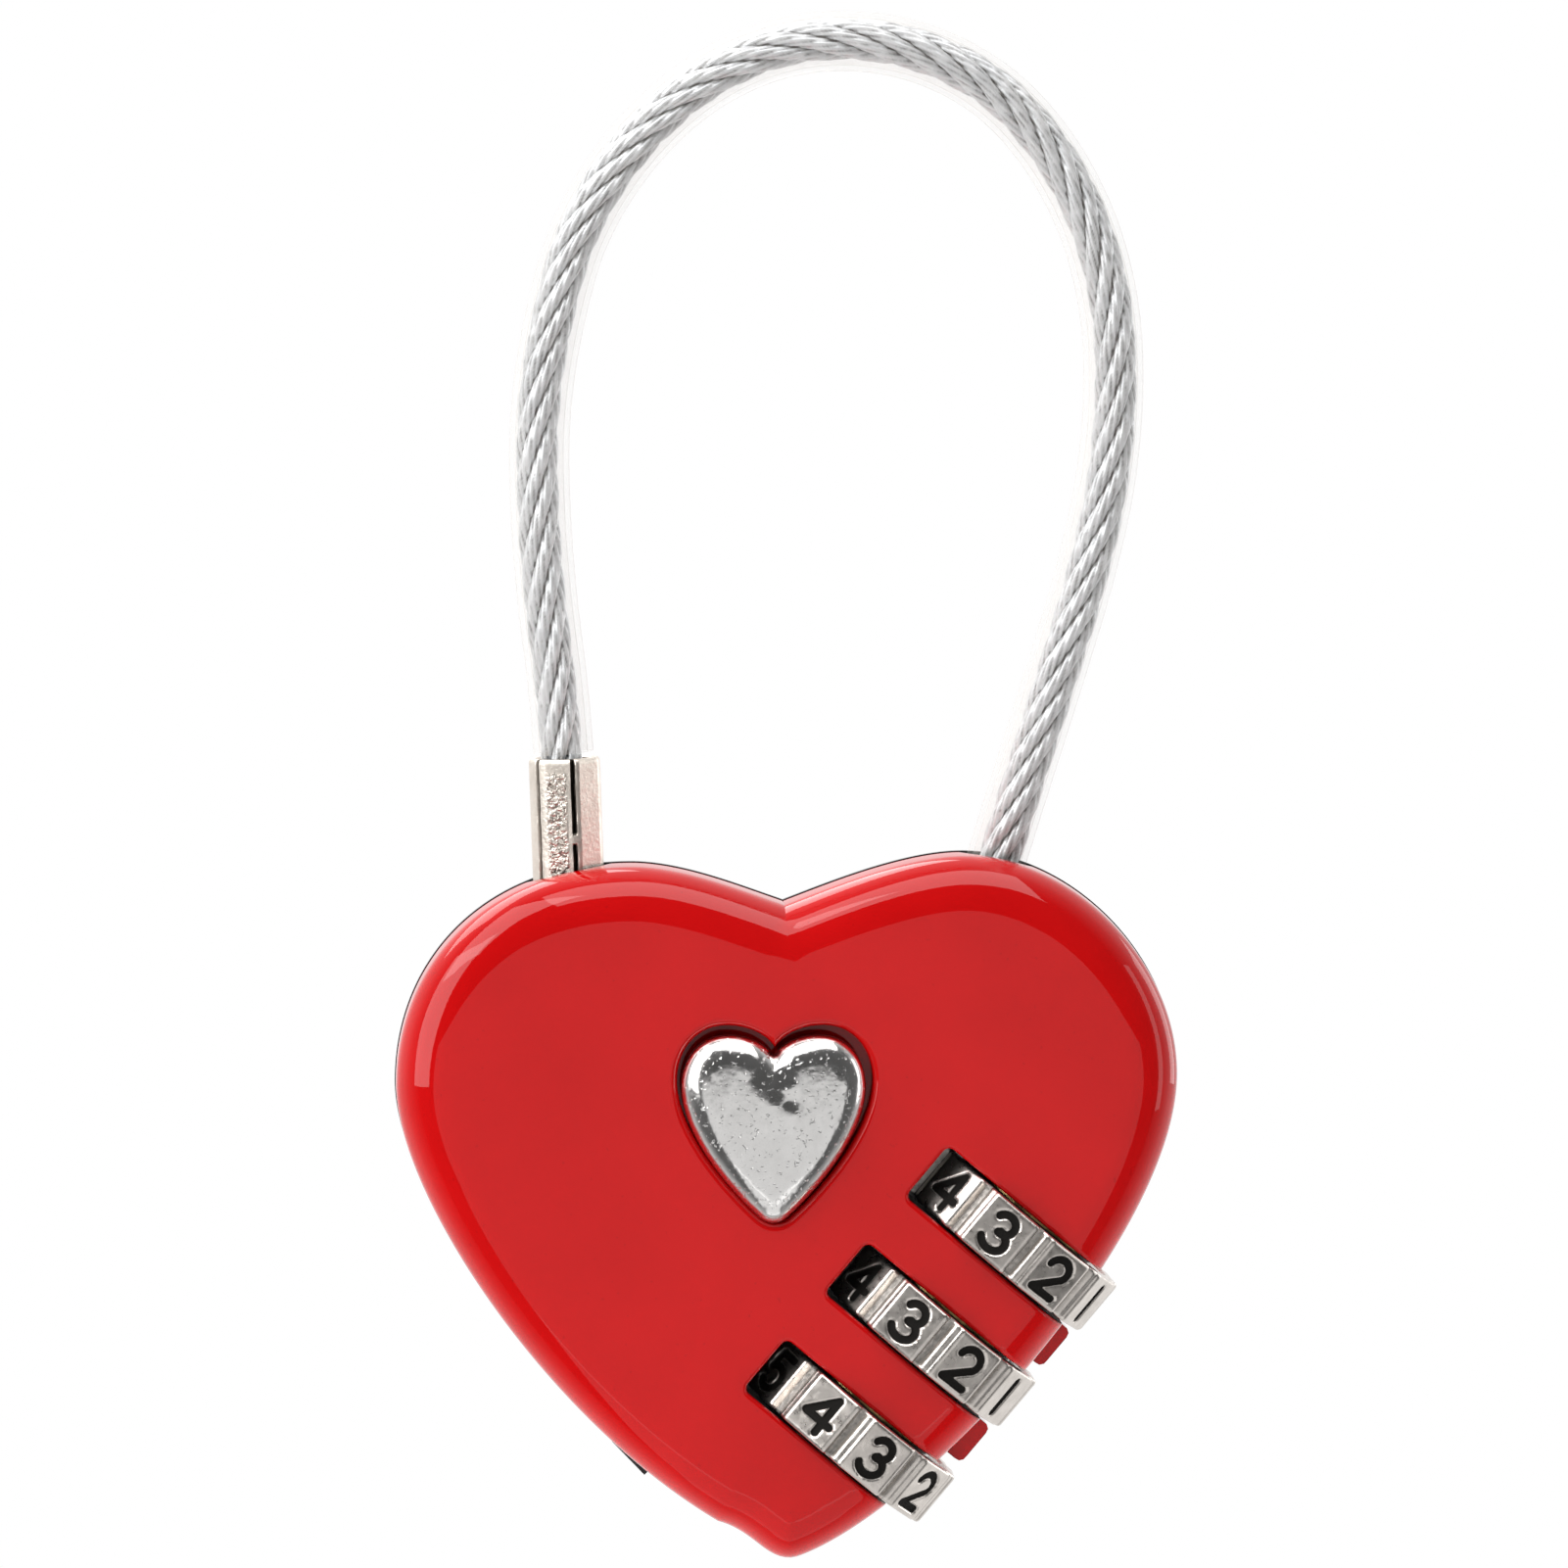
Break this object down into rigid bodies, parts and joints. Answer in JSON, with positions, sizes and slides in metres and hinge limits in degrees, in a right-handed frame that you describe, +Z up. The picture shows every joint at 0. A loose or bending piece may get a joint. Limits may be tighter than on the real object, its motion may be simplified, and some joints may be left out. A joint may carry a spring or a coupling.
{
  "type": "luggage combination padlock",
  "caption": "Heart-shaped luggage padlock with number wheels, a push button and a plastic-coated steel cable shackle that plugs into the case.",
  "frame": {"origin": "the hanging point, just under the crown of the cable loop, on the case's centreline", "axes": "+Z up as it hangs, +X to the right as seen from the front, -Y out of the front face, +Y out of the back face"},
  "size_m": [0.0485, 0.0148, 0.0955],
  "materials": {
    "red_paint": "high gloss red lacquer over a zinc casting",
    "chrome": "bright chrome plate with small casting pits",
    "dial_nickel": "satin nickel plate with black paint in the engraved digits",
    "ferrule_nickel": "matte warm nickel, crimped",
    "wire_steel": "galvanised steel rope",
    "clear_pvc": "clear glossy PVC",
    "steel": "plain steel",
    "spring_steel": "dark spring steel",
    "brass": "turned brass",
    "zinc": "bare zinc casting",
    "black_plastic": "black moulded plastic"
  },
  "bodies": {
    "case": {"front_shell": "red_paint", "back_shell": "red_paint", "case_rivet_left": "steel", "case_rivet_right": "steel", "case_rivet_tip": "steel", "button_spring": "spring_steel", "latch_spring": "spring_steel", "spindle_spring": "spring_steel", "spindle_bush_upper": "brass", "spindle_bush_lower": "brass", "detent_spring": "spring_steel", "cable_anchor": "zinc", "anchor_pin": "steel", "cable_jacket_fixed": "clear_pvc", "wire_rope_fixed": "wire_steel"},
    "button": {"release_button": "chrome", "button_retainer": "spring_steel"},
    "latch": {"latch_plate": "zinc", "latch_clip": "spring_steel"},
    "spindle": {"code_spindle": "steel"},
    "top_dial": {"dial_wheel_top": "dial_nickel", "code_sleeve_top": "brass"},
    "middle_dial": {"dial_wheel_middle": "dial_nickel", "code_sleeve_middle": "brass"},
    "bottom_dial": {"dial_wheel_bottom": "dial_nickel", "code_sleeve_bottom": "brass"},
    "reset": {"reset_slider": "black_plastic"},
    "free_end": {"cable_ferrule": "ferrule_nickel", "cable_jacket_free": "clear_pvc", "wire_rope_free": "wire_steel"}
  },
  "joints": [
    {"name": "button_press", "type": "slide", "parent": "case", "child": "button", "axis": [0, 1, 0], "range_m": [0, 0.0012], "stiffness_N_per_m": 500, "deforming": ["button_spring"]},
    {"name": "latch_slide", "type": "slide", "parent": "case", "child": "latch", "axis": [1, 0, 0], "range_m": [0, 0.0012], "deforming": ["latch_spring"]},
    {"name": "spindle_slide", "type": "slide", "parent": "case", "child": "spindle", "axis": [0.6428, 0, 0.766], "range_m": [0, 0.0008], "deforming": ["spindle_spring"]},
    {"name": "top_dial_turn", "type": "hinge", "parent": "case", "child": "top_dial", "pos_m": [0.01383, 0, -0.07133], "axis": [0.6428, 0, 0.766], "continuous": true},
    {"name": "middle_dial_turn", "type": "hinge", "parent": "case", "child": "middle_dial", "pos_m": [0.00885, 0, -0.07727], "axis": [0.6428, 0, 0.766], "continuous": true},
    {"name": "bottom_dial_turn", "type": "hinge", "parent": "case", "child": "bottom_dial", "pos_m": [0.00387, 0, -0.08321], "axis": [0.6428, 0, 0.766], "continuous": true},
    {"name": "reset_slide", "type": "slide", "parent": "case", "child": "reset", "axis": [0.6921, 0, -0.7218], "range_m": [0, 0.002]},
    {"name": "cable_release", "type": "slide", "parent": "case", "child": "free_end", "axis": [-0.0358, 0, 0.9994], "range_m": [0, 0.014], "deforming": ["latch_clip"]}
  ],
  "couplings": [
    {"joint": "latch_slide", "follows": "button_press", "ratio": 1},
    {"joint": "spindle_slide", "follows": "button_press", "ratio": 0.64279}
  ]
}
